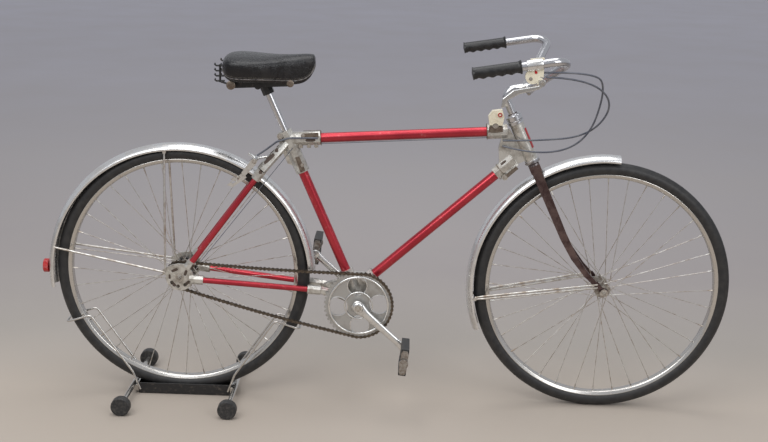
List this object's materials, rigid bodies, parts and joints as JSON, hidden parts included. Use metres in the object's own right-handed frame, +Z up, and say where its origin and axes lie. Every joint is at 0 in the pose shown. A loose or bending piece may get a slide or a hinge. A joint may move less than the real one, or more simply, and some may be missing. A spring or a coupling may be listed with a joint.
{
  "type": "bicycle",
  "caption": "Touring bicycle with clamp-lug octagonal frame, mudguards, sprung saddle and block pedals, on a wire display stand.",
  "frame": {"origin": "on the floor at the centre of the bounding box", "axes": "+X forward towards the front wheel, +Y to the rider's left, +Z up; the chain side faces -Y"},
  "size_m": [1.9026, 0.562, 1.0131],
  "materials": {
    "red_tube": "anodised red, satin",
    "cast_alloy": "cast, aged satin",
    "alloy_sheet": "polished, aged",
    "alloy_arm": "forged, satin",
    "chrome": "polished",
    "dark_chrome": "tarnished",
    "rim_steel": "dull plated",
    "spoke_steel": "dull plated",
    "dull_steel": "worn plated",
    "chain_steel": "oiled",
    "tyre_rubber": "matt",
    "grip_rubber": "satin",
    "pedal_rubber": "matt",
    "roller_rubber": "matt",
    "leather": "worn black",
    "saddle_steel": "black enamel",
    "cream_plastic": "aged",
    "reflector_red": "clear red lens in a metal rim",
    "cable_grey": "satin",
    "stand_black": "black enamel",
    "stand_steel": "zinc plated"
  },
  "bodies": {
    "frame": {"seat_tube": "red_tube", "top_tube": "red_tube", "down_tube": "red_tube", "seat_stays": "red_tube", "chain_stays": "red_tube", "head_lug": "cast_alloy", "headset_cups": "chrome", "guide_block": "cream_plastic", "seat_lug": "cast_alloy", "seat_post": "chrome", "bottom_bracket_lug": "cast_alloy", "dropouts": "cast_alloy", "chain": "chain_steel", "rear_axle": "dull_steel", "rear_mudguard": "alloy_sheet", "rear_mudguard_stays": "stand_steel", "rear_reflector": "reflector_red", "rear_brake": "alloy_arm", "frame_cables": "cable_grey", "saddle_cover": "leather", "saddle_frame": "saddle_steel", "saddle_springs": "saddle_steel", "stand_channel": "stand_black", "stand_cross_bars": "stand_steel", "stand_rollers": "roller_rubber", "stand_wires": "stand_steel"},
    "steering": {"fork": "dark_chrome", "headset_nut": "chrome", "stem": "chrome", "handlebar": "chrome", "grips": "grip_rubber", "gear_shifter": "cream_plastic", "brake_lever": "alloy_arm", "front_axle": "dull_steel", "front_mudguard": "alloy_sheet", "front_mudguard_stays": "stand_steel", "cable_loops": "cable_grey"},
    "front_wheel": {"front_tyre": "tyre_rubber", "front_rim": "rim_steel", "front_spokes": "spoke_steel", "front_hub": "dull_steel"},
    "rear_wheel": {"rear_tyre": "tyre_rubber", "rear_rim": "rim_steel", "rear_spokes": "spoke_steel", "rear_hub": "dull_steel"},
    "freewheel": {"rear_sprocket": "dull_steel"},
    "crank": {"chainring": "alloy_arm", "crank_right": "alloy_arm", "crank_left": "alloy_arm", "crank_spindle": "dull_steel"},
    "pedal_right": {"pedal_right_frame": "dull_steel", "pedal_right_rubbers": "pedal_rubber"},
    "pedal_left": {"pedal_left_frame": "dull_steel", "pedal_left_rubbers": "pedal_rubber"}
  },
  "joints": [
    {"name": "steering", "type": "hinge", "parent": "frame", "child": "steering", "pos_m": [0.38725, 0, 0.706], "axis": [-0.4226, 0, 0.9063], "range_deg": [-50, 50], "deforming": ["cable_loops"]},
    {"name": "front_wheel_spin", "type": "hinge", "parent": "steering", "child": "front_wheel", "pos_m": [0.59925, 0, 0.352], "axis": [0, 1, 0], "continuous": true},
    {"name": "rear_wheel_spin", "type": "hinge", "parent": "frame", "child": "rear_wheel", "pos_m": [-0.56075, 0, 0.361], "axis": [0, 1, 0], "continuous": true},
    {"name": "crank_spin", "type": "hinge", "parent": "frame", "child": "crank", "pos_m": [-0.06975, 0, 0.289], "axis": [0, 1, 0], "continuous": true},
    {"name": "freewheel_spin", "type": "hinge", "parent": "frame", "child": "freewheel", "pos_m": [-0.56075, 0, 0.361], "axis": [0, 1, 0], "continuous": true},
    {"name": "pedal_right_spin", "type": "hinge", "parent": "crank", "child": "pedal_right", "pos_m": [0.05952, 0, 0.17859], "axis": [0, 1, 0], "continuous": true},
    {"name": "pedal_left_spin", "type": "hinge", "parent": "crank", "child": "pedal_left", "pos_m": [-0.19902, 0, 0.39941], "axis": [0, 1, 0], "continuous": true}
  ],
  "couplings": [
    {"joint": "freewheel_spin", "follows": "crank_spin", "ratio": 2.4211}
  ]
}
